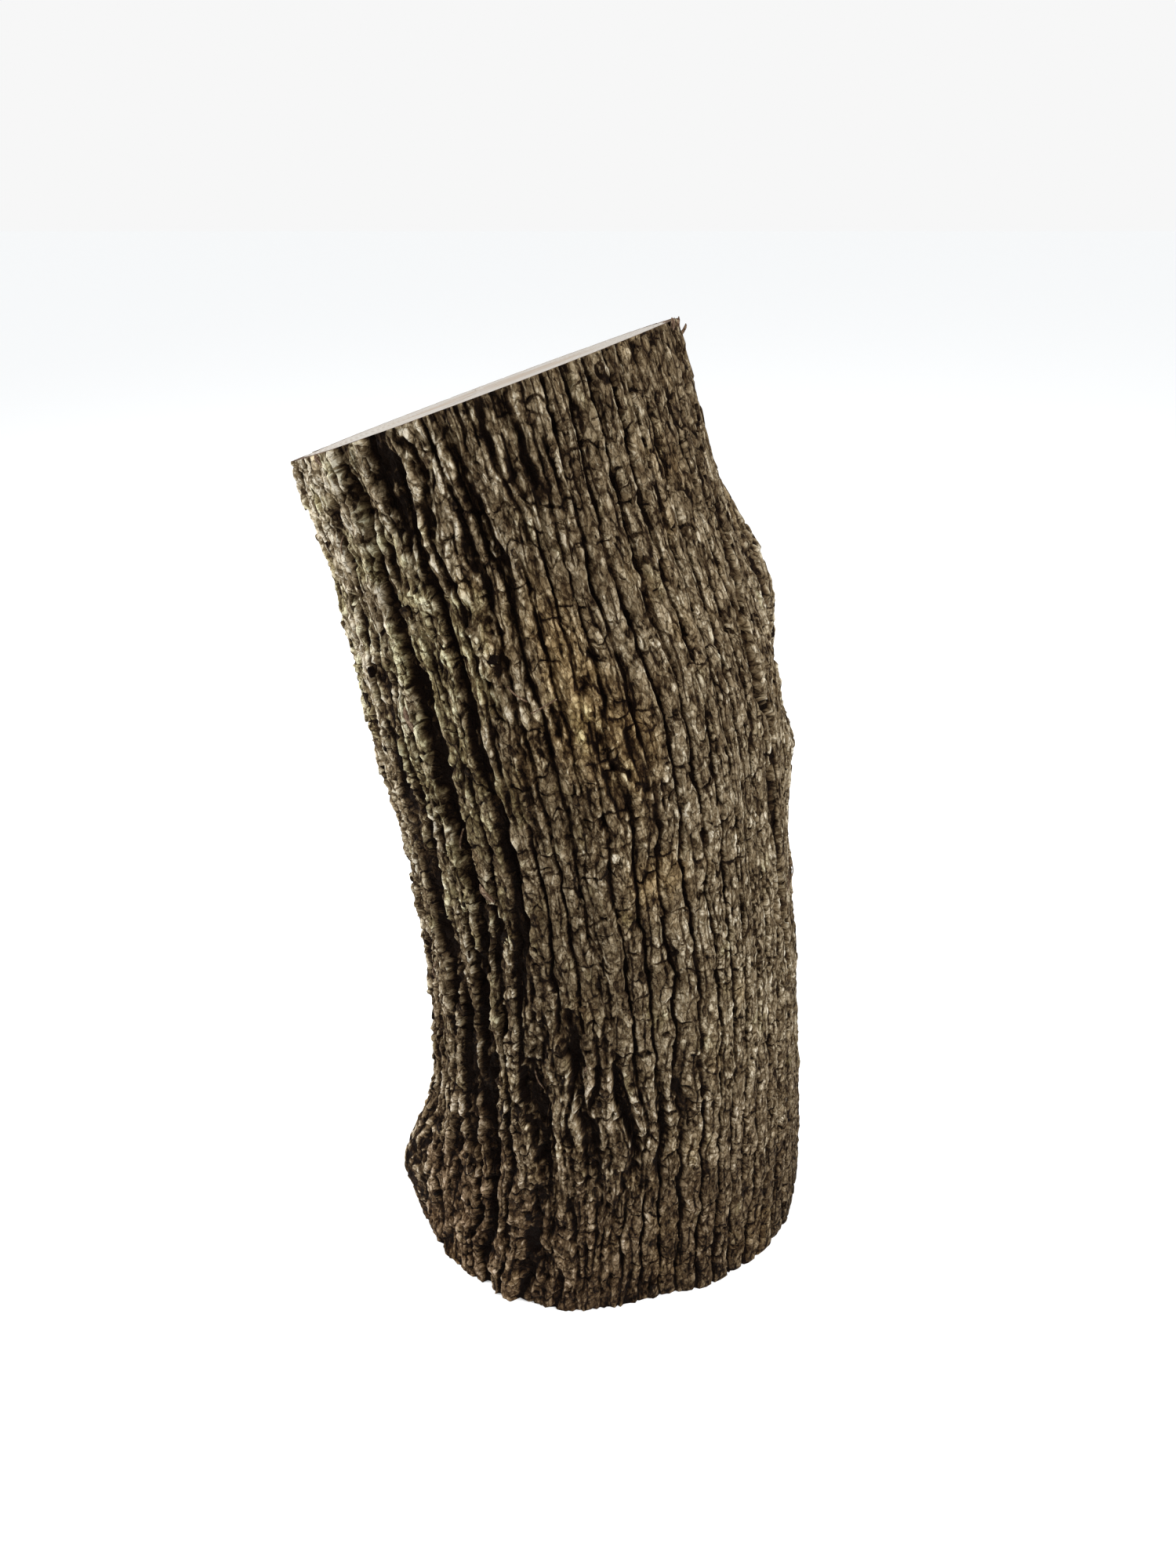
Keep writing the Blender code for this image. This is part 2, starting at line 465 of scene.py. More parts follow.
def keepValues(mesh, name, values):
    # a number or a vector for each point
    values = np.asarray(values, np.float32)
    kind, key = ("FLOAT", "value") if values.ndim == 1 else ("FLOAT_VECTOR", "vector")
    layer = mesh.attributes.get(name) or mesh.attributes.new(name, kind, "POINT")
    layer.data.foreach_set(key, values.ravel())


def readValues(mesh, name):
    layer = mesh.attributes[name]
    width, key = (1, "value") if layer.data_type == "FLOAT" else (3, "vector")
    values = np.empty(len(mesh.vertices) * width, np.float32)
    layer.data.foreach_get(key, values)
    return values.reshape(-1, 3).astype(float) if width == 3 else values.astype(float)


def makeSide():
    # a fine sheet rolled up, stretched to the trunk and pressed in by the bark's relief
    bpy.ops.mesh.primitive_grid_add(x_subdivisions=columns, y_subdivisions=rows - 1, size=1)
    log = bpy.context.active_object
    log.name = log.data.name = "log"
    flat = readPoints(log.data)
    column = np.round((flat[:, 0] + 0.5) * columns).astype(int)
    row = np.round((flat[:, 1] + 0.5) * (rows - 1)).astype(int)
    bearing = angle[column % columns]
    height = share[row]
    relief = barkSheet["relief"][row, column % columns]
    writePoints(log.data, trunkPoint(bearing, height, relief))
    keepValues(log.data, "place", np.stack((np.cos(bearing), np.sin(bearing), height), axis=-1))
    log.data.vertices.foreach_set("select", column % columns == 0)
    onlySelect(log)
    bpy.ops.object.mode_set(mode="EDIT")
    bpy.ops.mesh.remove_doubles(threshold=0.00001)
    bpy.ops.object.mode_set(mode="OBJECT")
    return log


log = makeSide()
print("side", len(log.data.vertices), "vertices")


def thinSide(piece):
    # fewer triangles, most of them where the bark is broken
    piece.data.calc_loop_triangles()
    modifier = piece.modifiers.new("thin", "DECIMATE")
    modifier.ratio = bark["triangles"] / len(piece.data.loop_triangles)
    modifier.use_collapse_triangulate = True
    onlySelect(piece)
    bpy.ops.object.modifier_apply(modifier=modifier.name)


thinSide(log)
print("side thinned to", len(log.data.polygons), "faces")


# The sawn ends: bark thickness at the cut, the rings of points, and the drying checks in the wood
ends = {
    "barkThickness": 0.0100,
    "ringShares": (0.90, 0.76, 0.60, 0.43, 0.26, 0.12),
    # bearing in degrees, from and to in shares of the radius, width and depth in metres
    "checks": (
        (28, 0.05, 0.80, 0.0026, 0.0060),
        (101, 0.30, 0.95, 0.0022, 0.0045),
        (163, 0.08, 0.62, 0.0024, 0.0050),
        (214, 0.42, 0.97, 0.0020, 0.0040),
        (262, 0.10, 0.72, 0.0026, 0.0055),
        (318, 0.50, 0.98, 0.0018, 0.0040),
    ),
}


def meshIndex(mesh, collection, key, width=1, kind=np.int32):
    values = np.empty(len(getattr(mesh, collection)) * width, kind)
    getattr(mesh, collection).foreach_get(key, values)
    return values.reshape(-1, width) if width > 1 else values


def rimEdges(mesh, shareAtEnd):
    # the open edges round one end
    pairs = meshIndex(mesh, "edges", "vertices", 2)
    uses = np.zeros(len(mesh.edges), int)
    np.add.at(uses, meshIndex(mesh, "loops", "edge_index"), 1)
    atEnd = np.abs(readValues(mesh, "place")[:, 2] - shareAtEnd) < 0.4
    rim = (uses == 1) & atEnd[pairs].all(axis=1)
    return rim, np.unique(pairs[rim])


def closeEnd(piece, shareAtEnd):
    mesh = piece.data
    middle, sideways, backwards = (part[0] for part in trunkSection(np.array([shareAtEnd])))
    rim, around = rimEdges(mesh, shareAtEnd)
    points, place = readPoints(mesh), readValues(mesh, "place")
    bearing = np.arctan2(place[around, 1], place[around, 0])
    out = sideways * np.cos(bearing)[:, None] + backwards * np.sin(bearing)[:, None]
    points[around] = middle + out * ((points[around] - middle) * out).sum(axis=1)[:, None]
    writePoints(mesh, points)
    place[around, 2] = shareAtEnd
    keepValues(mesh, "place", place)
    onlySelect(piece)
    bpy.ops.object.mode_set(mode="EDIT")
    bpy.ops.mesh.select_mode(type="EDGE")
    bpy.ops.mesh.select_all(action="DESELECT")
    bpy.ops.object.mode_set(mode="OBJECT")
    mesh.edges.foreach_set("select", rim)
    steps = [("bark", 0.5), ("bark", 1.0)] + [("wood", part) for part in ends["ringShares"]]
    for kind, part in steps:
        facesBefore = len(mesh.polygons)
        bpy.ops.object.mode_set(mode="EDIT")
        bpy.ops.mesh.extrude_edges_move()
        bpy.ops.object.mode_set(mode="OBJECT")
        ringPoints(mesh, (middle, sideways, backwards), shareAtEnd, kind, part)
        markFaces(mesh, facesBefore, 1 if kind == "bark" else 2)
    facesBefore = len(mesh.polygons)
    bpy.ops.object.mode_set(mode="EDIT")
    bpy.ops.mesh.edge_face_add()
    bpy.ops.mesh.quads_convert_to_tris()
    bpy.ops.object.mode_set(mode="OBJECT")
    markFaces(mesh, facesBefore, 2)


def markFaces(mesh, first, slotIndex):
    index = meshIndex(mesh, "polygons", "material_index")
    index[first:] = slotIndex
    mesh.polygons.foreach_set("material_index", index)


def ringPoints(mesh, section, shareAtEnd, kind, part):
    middle, sideways, backwards = section
    chosen = meshIndex(mesh, "vertices", "select", kind=bool)
    points = readPoints(mesh)
    place = readValues(mesh, "place")
    bearing = np.arctan2(place[chosen, 1], place[chosen, 0])
    height = np.full(bearing.shape, shareAtEnd)
    woodEdge = trunkRadius(bearing, height) - ends["barkThickness"]
    if kind == "bark":
        now = np.linalg.norm(points[chosen] - middle, axis=1)
        reach = now + (woodEdge - now) * part
        sunk = np.zeros(bearing.shape)
    else:
        reach = woodEdge * part
        sunk = checkDepth(bearing, part, reach)
    out = sideways * np.cos(bearing)[:, None] + backwards * np.sin(bearing)[:, None]
    inwards = np.cross(backwards, sideways) * (1 if shareAtEnd > 0.5 else -1)
    points[chosen] = middle + out * reach[:, None] + inwards * sunk[:, None]
    writePoints(mesh, points)


def checkDepth(bearing, part, reach):
    depth = np.zeros(bearing.shape)
    for degrees, inner, outer, width, deepest in ends["checks"]:
        across = turnBetween(bearing, math.radians(degrees)) * reach / width
        along = smooth(inner - 0.05, inner + 0.12, part) * (1 - smooth(outer - 0.12, outer + 0.03, part))
        depth = np.maximum(depth, deepest * along * np.exp(-across * across))
    return depth


for shareAtEnd in (0.0, 1.0):
    closeEnd(log, shareAtEnd)
print("ends closed", len(log.data.polygons), "faces")


def finishLog(piece):
    mesh = piece.data
    onlySelect(piece)
    bpy.ops.object.mode_set(mode="EDIT")
    bpy.ops.mesh.select_all(action="SELECT")
    bpy.ops.mesh.normals_make_consistent(inside=False)
    bpy.ops.object.mode_set(mode="OBJECT")
    place = readValues(mesh, "place")
    bearing = np.arctan2(place[:, 1], place[:, 0]) % (2 * math.pi)
    height = np.clip(place[:, 2], 0, 1)
    keepBarkValues(mesh, bearing, height)
    layUv(mesh, bearing, height)
    mesh.polygons.foreach_set("use_smooth", np.ones(len(mesh.polygons), bool))
    markSharp(mesh)


def keepBarkValues(mesh, bearing, height):
    # the sheet's masks at each point, and where the point would lie on a straight trunk
    for name in ("light", "rugged", "ochre", "lichen", "darkerLow"):
        keepValues(mesh, name, sheetAt(barkSheet[name], bearing, height))
    for name in ("low", "even", "narrow", "cross", "fineCross"):
        parts = [sheetAt(barkSheet[name][..., k], bearing, height) for k in range(3)]
        keepValues(mesh, name, np.stack(parts, axis=-1))
    straight = (np.cos(bearing) * straightRadius, np.sin(bearing) * straightRadius, height * bark["length"])
    keepValues(mesh, "grainPlace", np.stack(straight, axis=-1))


def sheetAt(field, bearing, height):
    # the sheet's value at these bearings and shares of height
    x, y = bearing / (2 * math.pi) * columns, np.clip(height, 0, 1) * (rows - 1)
    x0, y0 = np.floor(x).astype(int), np.clip(np.floor(y).astype(int), 0, rows - 2)
    fx, fy = x - x0, y - y0
    a, b = field[y0, x0 % columns], field[y0, (x0 + 1) % columns]
    c, d = field[y0 + 1, x0 % columns], field[y0 + 1, (x0 + 1) % columns]
    return (a * (1 - fx) + b * fx) * (1 - fy) + (c * (1 - fx) + d * fx) * fy


def markSharp(mesh):
    # the edge between bark and sawn face is crisp
    totals = meshIndex(mesh, "polygons", "loop_total")
    sawn = np.repeat(meshIndex(mesh, "polygons", "material_index") > 0, totals)
    counts = np.zeros(len(mesh.edges))
    np.add.at(counts, meshIndex(mesh, "loops", "edge_index"), sawn)
    mesh.edges.foreach_set("use_edge_sharp", counts == 1)


def layUv(mesh, bearing, height):
    # the side rolled out along the foot of the square, and the two sawn faces above it
    for layer in list(mesh.uv_layers):
        mesh.uv_layers.remove(layer)
    layer = mesh.uv_layers.new(name="OFBake")
    layer.active = layer.active_render = True
    corner = meshIndex(mesh, "loops", "vertex_index")
    totals = meshIndex(mesh, "polygons", "loop_total")
    starts = np.concatenate(([0], np.cumsum(totals)[:-1]))
    turn = bearing[corner] / (2 * math.pi)
    turn = turn + np.round(np.repeat(turn[starts], totals) - turn)
    low = np.repeat(np.minimum.reduceat(turn, starts), totals)
    turn = turn - np.where(low < -1e-6, np.floor(low), 0.0)
    uv = np.stack((0.004 + turn * 0.97, 0.006 + height[corner] * 0.62), axis=-1)
    points = readPoints(mesh)[corner]
    sawn = np.repeat(meshIndex(mesh, "polygons", "material_index") > 0, totals)
    for shareAtEnd, centreU in ((0.0, 0.20), (1.0, 0.60)):
        middle, sideways, backwards = (part[0] for part in trunkSection(np.array([shareAtEnd])))
        flat = points - middle
        disc = np.stack((centreU + flat @ sideways * 0.80, 0.815 + flat @ backwards * 0.80), axis=-1)
        here = sawn & (np.abs(height[corner] - shareAtEnd) < 0.5)
        uv = np.where(here[:, None], disc, uv)
    layer.data.foreach_set("uv", uv.astype(np.float32).ravel())


finishLog(log)
print("log has", len(log.data.polygons), "faces")


# Loose scales on top of the ridges, each a small thin plate with a skirt sunk in the bark
flakes = {
    "cellWidth": 0.0098,
    "cellHeight": 0.0165,
    "kept": 0.62,
    "halfWidth": (0.0026, 0.0052),
    "halfHeight": (0.0042, 0.0098),
    "rise": (0.0006, 0.0019),
    "trunkRadius": 0.186,  # turns a flake's width into a bearing
    "sides": 6,
    "lean": 0.16,
    "tilt": 0.10,
    "lightness": 0.57,
    "toneSpread": 0.085,
    "lineStrength": {"low": 0.0, "even": 0.0, "narrow": 0.55, "cross": 0.7, "fineCross": 0.8},
    # share of the half size, share of the rise, change in lightness (painted light on the raised middle,
    # painted shade on the rim and the sunk skirt), share of the UV cell
    "rings": (
        (0.00, 1.15, 0.06, 0.00),
        (0.72, 1.00, 0.04, 0.62),
        (1.00, 0.55, -0.06, 0.84),
        (1.06, -1.70, -0.45, 1.00),
    ),
}


def flakePlaces():
    # one try in each cell of a jittered grid, kept where the bark is not furrowed
    across = round(bark["girth"] / flakes["cellWidth"])
    along = round(bark["length"] / flakes["cellHeight"])
    x, y = np.meshgrid(np.arange(across), np.arange(along))
    x, y = x.ravel() + draw.random(x.size), y.ravel() + draw.random(x.size)
    bearing, height = x / across * 2 * math.pi, 0.016 + y / along * 0.968
    broken = blurred(barkSheet["broken"], 0.004, 0.006)
    chance = draw.random(x.size) < flakes["kept"]
    kept = chance & (sheetAt(broken, bearing, height) < 0.22)
    return bearing[kept], height[kept]


def drawn(limits, count, power):
    # random sizes between two limits, the small ones more often
    low, high = limits
    return low + (high - low) * draw.random(count) ** power


def makeFlakes():
    bearing, height = flakePlaces()
    count, sides = len(bearing), flakes["sides"]
    relief = sheetAt(blurred(barkSheet["relief"], 0.006, 0.008), bearing, height)
    rugged = sheetAt(barkSheet["rugged"], bearing, height)
    halfWidth = drawn(flakes["halfWidth"], count, 1.6) * (0.85 + 0.3 * rugged)
    halfHeight = drawn(flakes["halfHeight"], count, 1.4)
    rise = drawn(flakes["rise"], count, 1.5) * (0.8 + 0.5 * rugged)
    lean = draw.normal(0, flakes["lean"], count)
    tilt = draw.normal(0, flakes["tilt"], (count, 2)) * (0.6 + 0.8 * rugged)[:, None]
    burl = sheetAt(barkSheet["burl"], bearing, height)
    own = draw.normal(0, flakes["toneSpread"], count) * (1 + 1.2 * rugged + 0.8 * burl)
    turn = (np.arange(sides) + draw.uniform(-0.32, 0.32, (count, sides))) / sides * 2 * math.pi
    reach = draw.uniform(0.72, 1.12, (count, sides))
    points, light, places, uvs = [], [], [], []
    grid = math.ceil(math.sqrt(count))
    cell = np.stack((np.arange(count) % grid + 0.5, np.arange(count) // grid + 0.5), axis=-1) / grid
    for size, lift, shade, uvShare in flakes["rings"]:
        used = turn[:, :1] if size == 0 else turn
        a = np.cos(used) * reach[:, :used.shape[1]] * halfWidth[:, None] * size
        b = np.sin(used) * reach[:, :used.shape[1]] * halfHeight[:, None] * size
        a, b = a + lean[:, None] * b, b - lean[:, None] * a
        around = bearing[:, None] + a / flakes["trunkRadius"]
        up = np.clip(height[:, None] + b / bark["length"], 0.001, 0.999)
        out = relief[:, None] + rise[:, None] * lift + tilt[:, :1] * a + tilt[:, 1:] * b
        points.append(trunkPoint(around, up, out))
        # each flake's own tone plus its ring's painted light and shade
        light.append(np.broadcast_to(own[:, None] + shade, a.shape))
        places.append(np.stack((np.cos(around), np.sin(around), up), axis=-1))
        spread = np.stack((np.cos(used), np.sin(used)), axis=-1) * uvShare * 0.46 / grid
        uvs.append(cell[:, None] + spread)
    points, places, uvs = (np.concatenate(part, axis=1) for part in (points, places, uvs))
    perFlake = points.shape[1]
    faces = [
        tuple(corner + perFlake * number for corner in face)
        for number in range(count) for face in flakeFaces(sides)
    ]
    piece = newPiece("flakes", points.reshape(-1, 3), faces)
    around = np.arctan2(places[..., 1], places[..., 0]).ravel() % (2 * math.pi)
    up = places[..., 2].ravel()
    keepBarkValues(piece.data, around, up)
    # the flakes take the same painted light and shade as the bark under them
    base = flakes["lightness"] + sheetAt(barkSheet["driftAndPaintedLight"], around, up)
    keepValues(piece.data, "light", np.clip(base + np.concatenate(light, axis=1).ravel(), 0, 1))
    for name, strength in flakes["lineStrength"].items():
        values = readValues(piece.data, name)
        values[:, 2] = values[:, 2] * strength
        keepValues(piece.data, name, values)
    layer = piece.data.uv_layers.new(name="OFBake")
    corner = meshIndex(piece.data, "loops", "vertex_index")
    layer.data.foreach_set("uv", uvs.reshape(-1, 2)[corner].astype(np.float32).ravel())
    return piece


def newPiece(name, points, faces):
    mesh = bpy.data.meshes.new(name)
    mesh.from_pydata(points, [], faces)
    piece = bpy.data.objects.new(name, mesh)
    scene.collection.objects.link(piece)
    return piece


def flakeFaces(sides):
    # corner numbers for one flake: a middle point, then three rings of points
    first, second, third = 1, 1 + sides, 1 + 2 * sides
    faces = []
    for k in range(sides):
        after = (k + 1) % sides
        faces.append((0, first + k, first + after))
        faces.append((first + k, second + k, second + after, first + after))
        faces.append((second + k, third + k, third + after, second + after))
    faces.append(tuple(third + k for k in reversed(range(sides))))
    return faces


looseScales = makeFlakes()
print("flakes", len(looseScales.data.polygons), "faces")


# Torn splinters at the rims and thin straws caught in the bark
splinters = {
    # bearing, share, length, half width, half thickness, lean outwards and sideways
    "shards": (
        (347.0, 0.991, 0.0125, 0.0042, 0.0018, 0.60, 0.30),
        (350.5, 0.988, 0.0090, 0.0030, 0.0014, 0.90, 0.60),
        (343.0, 0.996, 0.0070, 0.0030, 0.0012, 0.25, -0.35),
        (224.0, 0.994, 0.0060, 0.0032, 0.0014, 0.35, -0.25),
        (196.0, 0.993, 0.0060, 0.0026, 0.0012, 0.90, 0.20),
        (66.0, 0.993, 0.0065, 0.0036, 0.0014, 0.80, -0.30),
        (160.0, 0.992, 0.0060, 0.0030, 0.0012, 1.10, -0.20),
        (228.0, 0.740, 0.0190, 0.0036, 0.0013, 0.22, 0.12),
        (241.0, 0.560, 0.0150, 0.0030, 0.0012, 0.26, -0.20),
        (219.0, 0.475, 0.0170, 0.0032, 0.0012, 0.24, 0.15),
        (262.0, 0.350, 0.0130, 0.0026, 0.0010, 0.20, 0.25),
        (95.0, 0.620, 0.0160, 0.0032, 0.0012, 0.25, -0.15),
        (145.0, 0.300, 0.0150, 0.0030, 0.0012, 0.25, 0.20),
    ),
    # bearing, share, length, direction in degrees from upright, bow
    "straws": (
        (342.0, 0.470, 0.034, 62, 0.006),
        (346.0, 0.478, 0.026, 35, 0.005),
        (268.0, 0.752, 0.024, 70, 0.004),
        (262.0, 0.765, 0.020, -40, 0.004),
        (233.0, 0.610, 0.030, 15, 0.005),
        (247.0, 0.330, 0.026, -20, 0.004),
        (210.0, 0.420, 0.030, 8, 0.006),
        (198.0, 0.800, 0.028, -12, 0.004),
        (215.0, 0.910, 0.024, 25, 0.004),
        (40.0, 0.550, 0.032, 55, 0.006),
        (88.0, 0.400, 0.028, -30, 0.005),
        (135.0, 0.700, 0.030, 20, 0.005),
    ),
    "strawRadius": 0.00055,
}


def frameAt(bearing, height):
    # a point on the bark with the directions round, up and outwards there
    step = 0.01
    smoothPlace = trunkPoint(bearing, height)
    around = unit(trunkPoint(bearing + step, height) - smoothPlace)
    up = unit(smoothPlace - trunkPoint(bearing, height - step))
    place = trunkPoint(bearing, height, sheetAt(barkSheet["relief"], bearing, height))
    return place, around, up, np.cross(around, up)


def tube(path, across, over, halfWidths, halfDepths):
    # a closed run of square sections along a path
    steps = len(path)
    corners = []
    for number in range(steps):
        for side, face in ((-1, -1), (1, -1), (1, 1), (-1, 1)):
            aside = across * halfWidths[number] * side
            corners.append(path[number] + aside + over * halfDepths[number] * face)
    faces = [(3, 2, 1, 0)]
    for number in range(steps - 1):
        first, after = 4 * number, 4 * number + 4
        faces += [(first + k, first + (k + 1) % 4, after + (k + 1) % 4, after + k) for k in range(4)]
    last = 4 * (steps - 1)
    return corners, faces + [(last, last + 1, last + 2, last + 3)]


def makeSplinters():
    points, faces = [], []
    for degrees, height, length, halfWidth, halfDepth, outwards, sideways in splinters["shards"]:
        place, around, up, out = (part[0] for part in frameAt(np.radians([degrees]), np.array([height])))
        run = unit(up + out * outwards + around * sideways)
        bow = out * length * 0.10
        path = [place + run * length * t + bow * math.sin(t * math.pi) for t in (-0.45, 0.0, 0.45, 0.8, 1.0)]
        widths = [halfWidth * part for part in (0.8, 1.0, 0.85, 0.45, 0.10)]
        depths = [halfDepth * part for part in (1.0, 1.0, 0.8, 0.5, 0.15)]
        flat = unit(np.cross(run, np.cross(around, run)))
        join(points, faces, tube(path, flat, unit(np.cross(run, flat)), widths, depths))
    for degrees, height, length, direction, bow in splinters["straws"]:
        place, around, up, out = (part[0] for part in frameAt(np.radians([degrees]), np.array([height])))
        turn = math.radians(direction)
        run = unit(up * math.cos(turn) + around * math.sin(turn))
        path = []
        for t in np.linspace(0, 1, 7):
            path.append(place + run * length * (t - 0.5) + out * (bow * math.sin(t * math.pi) - 0.001))
        radius = [splinters["strawRadius"]] * len(path)
        join(points, faces, tube(path, np.cross(out, run), out, radius, radius))
    piece = newPiece("splinters", points, faces)
    onlySelect(piece)
    bpy.ops.object.mode_set(mode="EDIT")
    bpy.ops.mesh.select_all(action="SELECT")
    bpy.ops.mesh.normals_make_consistent(inside=False)
    bpy.ops.uv.smart_project(angle_limit=math.radians(66), island_margin=0.01)
    bpy.ops.object.mode_set(mode="OBJECT")
    return piece


def join(points, faces, part):
    first = len(points)
    points.extend(part[0])
    faces.extend(tuple(corner + first for corner in face) for face in part[1])


splinterPiece = makeSplinters()
print("splinters", len(splinterPiece.data.polygons), "faces")


def makeMaterial(name):
    material = bpy.data.materials.new(name)
    material.use_nodes = True
    tree = material.node_tree
    return material, tree, tree.nodes["Principled BSDF"]


def addNode(tree, kind, settings=None, values=None, links=None):
    node = tree.nodes.new(kind)
    for key, value in (settings or {}).items():
        setattr(node, key, value)
    for key, value in (values or {}).items():
        node.inputs[key].default_value = value
    for key, source in (links or {}).items():
        tree.links.new(source, node.inputs[key])
    return node


def maths(tree, operation, *values):
    node = addNode(tree, "ShaderNodeMath", {"operation": operation})
    for position, value in enumerate(values):
        if isinstance(value, (int, float)):
            node.inputs[position].default_value = value
        else:
            tree.links.new(value, node.inputs[position])
    return node.outputs[0]


def addShare(tree, total, mask, amount, centre=0.5):
    # total plus the mask's distance from its centre, times an amount
    return maths(tree, "MULTIPLY_ADD", maths(tree, "SUBTRACT", mask, centre), amount, total)


def mixColour(tree, share, a, b, blend="MIX"):
    node = addNode(tree, "ShaderNodeMix", {"data_type": "RGBA", "blend_type": blend})
    for key, value in (("Factor", share), ("A", a), ("B", b)):
        socket = next(s for s in node.inputs if s.name == key and s.enabled)
        if isinstance(value, (int, float)):
            socket.default_value = value
        elif isinstance(value, tuple):
            socket.default_value = (*value, 1.0)
        else:
            tree.links.new(value, socket)
    return next(s for s in node.outputs if s.enabled)


def ramp(tree, source, stops):
    node = addNode(tree, "ShaderNodeValToRGB")
    tree.links.new(source, node.inputs[0])
    elements = node.color_ramp.elements
    elements.remove(elements[1])
    for number, (position, colour) in enumerate(stops):
        element = elements[0] if number == 0 else elements.new(position)
        element.position = position
        element.color = (*colour, 1.0)
    return node.outputs["Color"]


def between(tree, source, low, high, toLow=0.0, toHigh=1.0):
    settings = {"interpolation_type": "SMOOTHSTEP"}
    values = {"From Min": low, "From Max": high, "To Min": toLow, "To Max": toHigh}
    return addNode(tree, "ShaderNodeMapRange", settings, values, {"Value": source}).outputs["Result"]


def bump(tree, height, strength, distance, normal=None):
    values = {"Strength": strength, "Distance": distance}
    links = {"Height": height} if normal is None else {"Height": height, "Normal": normal}
    return addNode(tree, "ShaderNodeBump", values=values, links=links).outputs[0]


def attribute(tree, name, socket="Fac"):
    return addNode(tree, "ShaderNodeAttribute", {"attribute_name": name}).outputs[socket]


def noise(tree, place, scale, detail, roughness, distortion=0.0):
    values = {"Scale": scale, "Detail": detail, "Roughness": roughness, "Distortion": distortion}
    return addNode(tree, "ShaderNodeTexNoise", values=values, links={"Vector": place}).outputs[0]


def stretched(tree, place, scale):
    return addNode(tree, "ShaderNodeMapping", values={"Scale": scale}, links={"Vector": place}).outputs[0]


def makeFlakeGroup():
    # small broken scales: how light each is, the cracks between them, and a height for a bump
    group = bpy.data.node_groups.new("brokenScales", "ShaderNodeTree")
    group.interface.new_socket("Place", in_out="INPUT", socket_type="NodeSocketVector")
    group.interface.new_socket("Scale", in_out="INPUT", socket_type="NodeSocketFloat")
    for name in ("Shade", "Crack", "Height"):
        group.interface.new_socket(name, in_out="OUTPUT", socket_type="NodeSocketFloat")
    ins = group.nodes.new("NodeGroupInput")
    outs = group.nodes.new("NodeGroupOutput")
    place, scale = ins.outputs["Place"], ins.outputs["Scale"]
    links = {"Vector": place, "Scale": scale}
    wobble = addNode(group, "ShaderNodeTexNoise", values={"Detail": 2.0}, links=links)
    steps = (
        ("SUBTRACT", {1: (0.5, 0.5, 0.5)}, {0: wobble.outputs["Color"]}),
        ("SCALE", {}, {"Scale": maths(group, "DIVIDE", 1.1, scale)}),
        ("ADD", {}, {1: place}),
    )
    moved = None
    for operation, values, links in steps:
        links = links if moved is None else {0: moved, **links}
        moved = addNode(group, "ShaderNodeVectorMath", {"operation": operation}, values, links).outputs[0]
    links = {"Vector": moved, "Scale": scale}
    cell = addNode(group, "ShaderNodeTexVoronoi", links=links)
    shade = addNode(group, "ShaderNodeSeparateColor", links={"Color": cell.outputs["Color"]}).outputs[0]
    edges = addNode(group, "ShaderNodeTexVoronoi", {"feature": "DISTANCE_TO_EDGE"}, links=links)
    edges = edges.outputs["Distance"]
    crack = between(group, edges, 0.02, 0.12, 1.0, 0.0)
    height = maths(group, "SUBTRACT", maths(group, "MULTIPLY", shade, 0.7), crack)
    for name, source in (("Shade", shade), ("Crack", crack), ("Height", height)):
        group.links.new(source, outs.inputs[name])
    return group


flakeGroup = makeFlakeGroup()


def brokenScales(tree, place, scale):
    node = addNode(tree, "ShaderNodeGroup", {"node_tree": flakeGroup}, {"Scale": scale}, {"Place": place})
    return node.outputs["Shade"], node.outputs["Crack"], node.outputs["Height"]


barkLook = {
    "stops": (
        (0.00, (0.0050, 0.0020, 0.0006)),
        (0.18, (0.0160, 0.0080, 0.0030)),
        (0.36, (0.0480, 0.0295, 0.0138)),
        (0.53, (0.1050, 0.0730, 0.0385)),
        (0.70, (0.2050, 0.1560, 0.0940)),
        (0.86, (0.3700, 0.3080, 0.2150)),
        (1.00, (0.5800, 0.5150, 0.4050)),
    ),
    "ochre": (1.03, 0.92, 0.72),
    "lichen": (0.95, 1.00, 0.84),
    "darkerLow": (0.80, 0.68, 0.62),
    # dark lines, painted shade in the cracks and furrows: how ragged, where they begin and are darkest across
    # the strand, and strength
    "lines": {
        "even": (0.34, 0.78, 0.91, 1.0),
        "low": (0.40, 0.66, 0.88, 0.9),
        "narrow": (0.45, 0.73, 0.90, 0.85),
        "cross": (0.40, 0.84, 0.96, 1.0),
        "fineCross": (0.45, 0.77, 0.93, 0.85),
    },
    # each pattern's share in the lightness, and the value that leaves it as it is; the two cracks are painted
    # shade between the scales
    "shares": {
        "grit": (0.70, 0.50),
        "blotch": (0.12, 0.50),
        "fibre": (0.24, 0.50),
        "shade": (0.22, 0.50),
        "plate": (0.20, 0.50),
        "crack": (-0.10, 0.15),
        "plateCrackShade": (-0.18, 0.10),
    },
    "lineShadeShare": -0.48,
}


def strandLine(tree, name, jag, ragged, low, high):
    # the dark line between two strands, broken up by a fine noise: painted shade in a crack or furrow
    parts = addNode(tree, "ShaderNodeSeparateXYZ", links={"Vector": attribute(tree, name, "Vector")})
    turn = maths(tree, "ABSOLUTE", maths(tree, "ARCTAN2", parts.outputs[1], parts.outputs[0]))
    off = addShare(tree, maths(tree, "MULTIPLY", turn, 1 / math.pi), jag, ragged)
    return maths(tree, "MULTIPLY", between(tree, off, low, high), parts.outputs[2])


